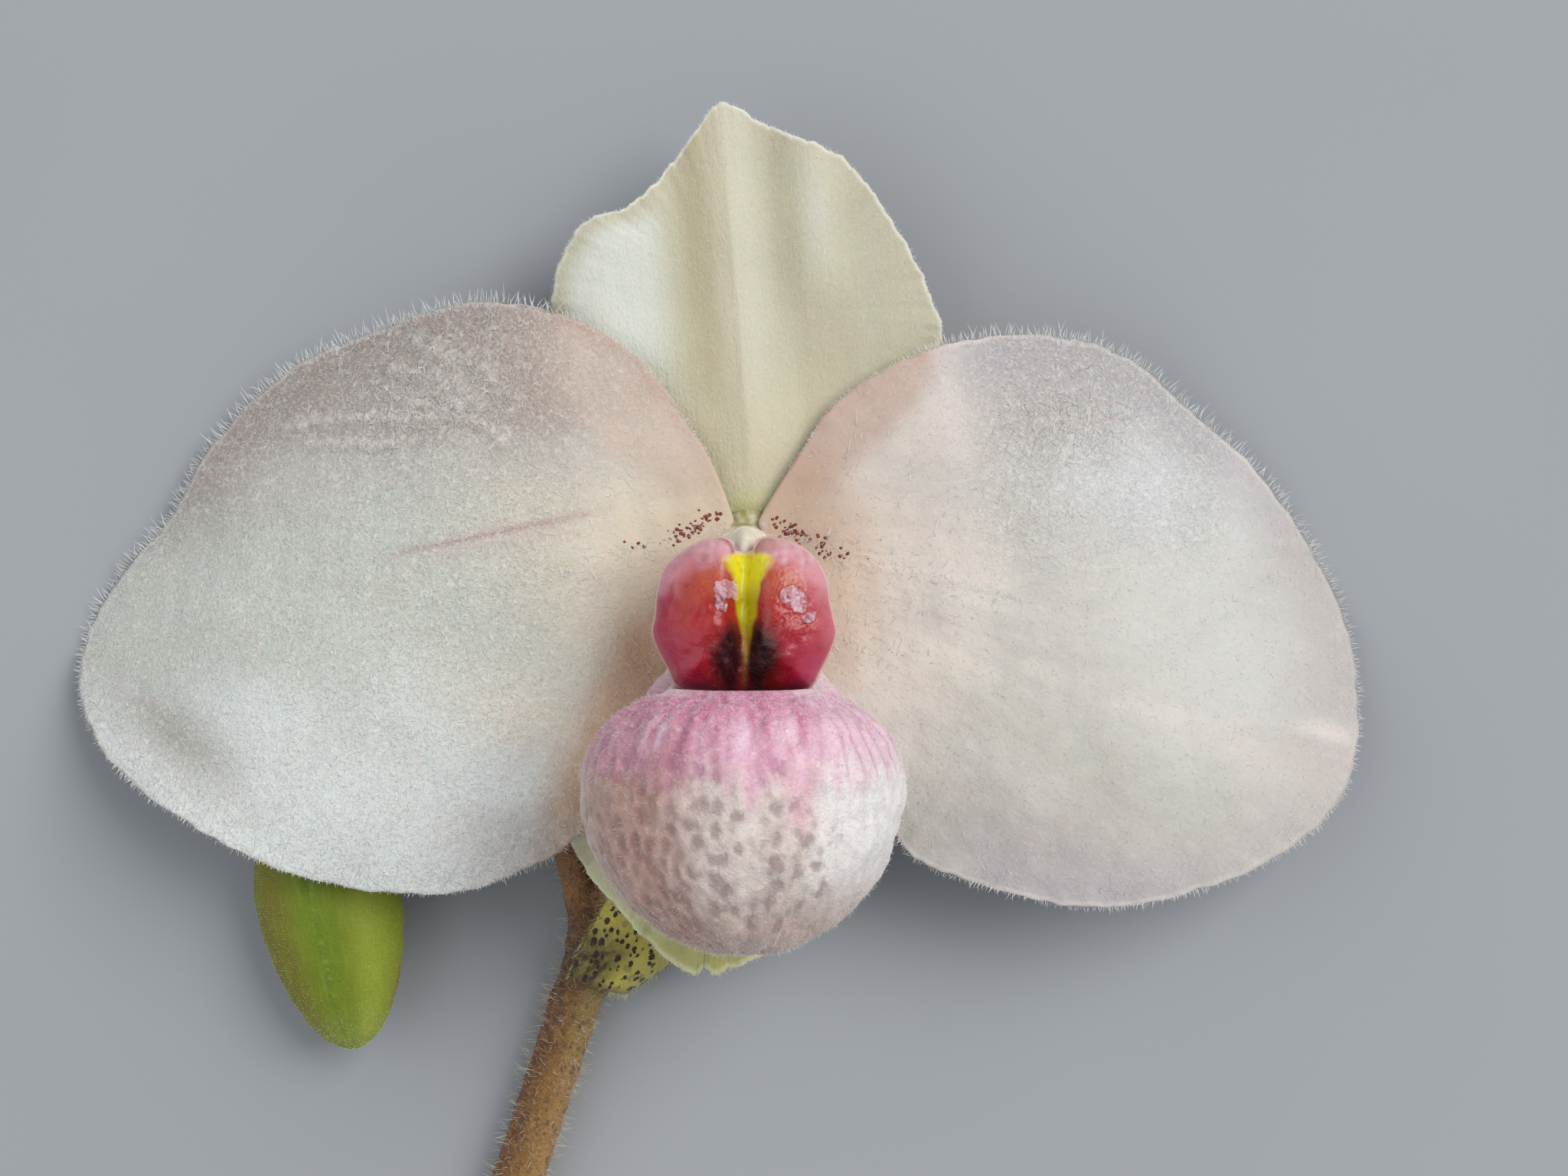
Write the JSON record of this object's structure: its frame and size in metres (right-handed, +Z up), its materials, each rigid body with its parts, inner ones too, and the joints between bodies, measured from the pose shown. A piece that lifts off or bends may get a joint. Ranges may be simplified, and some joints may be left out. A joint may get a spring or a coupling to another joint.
{
  "type": "paphiopedilum orchid",
  "caption": "Cut flowering stem of a slipper orchid with an open round-petalled flower, a pouch-shaped lip and a bud, lying on a surface.",
  "frame": {"origin": "on the flat underside of the stem, below the node where the stem, the flower's ovary and its bract meet", "axes": "+Z up from the surface, the way the flower faces; +Y from the node towards the top of the flower; +X to the flower's right as it is looked at"},
  "size_m": [0.1049, 0.1921, 0.032],
  "materials": {
    "petal": "velvety white, flushed pink at the margins, finely haired",
    "dorsal_sepal": "ivory, finely haired",
    "synsepal": "pale green, finely haired",
    "lip": "velvety pink fading to spotted cream",
    "column": "waxy cream white",
    "staminode": "glossy crimson with a yellow stripe",
    "anther": "waxy yellow",
    "bract": "green with dark spots, finely haired",
    "ovary": "green brown, finely haired",
    "bud": "lime green, finely haired",
    "stem": "mottled orange brown, haired"
  },
  "bodies": {
    "root": {"scape": "stem", "bract_flower": "bract", "bract_bud": "bract", "ovary_flower": "ovary", "ovary_bud": "ovary", "bud": "bud", "dorsal_sepal": "dorsal_sepal", "synsepal": "synsepal", "petal_left": "petal", "petal_right": "petal", "lip": "lip", "column": "column", "staminode": "staminode", "anther_left": "anther", "anther_right": "anther"}
  },
  "joints": []
}
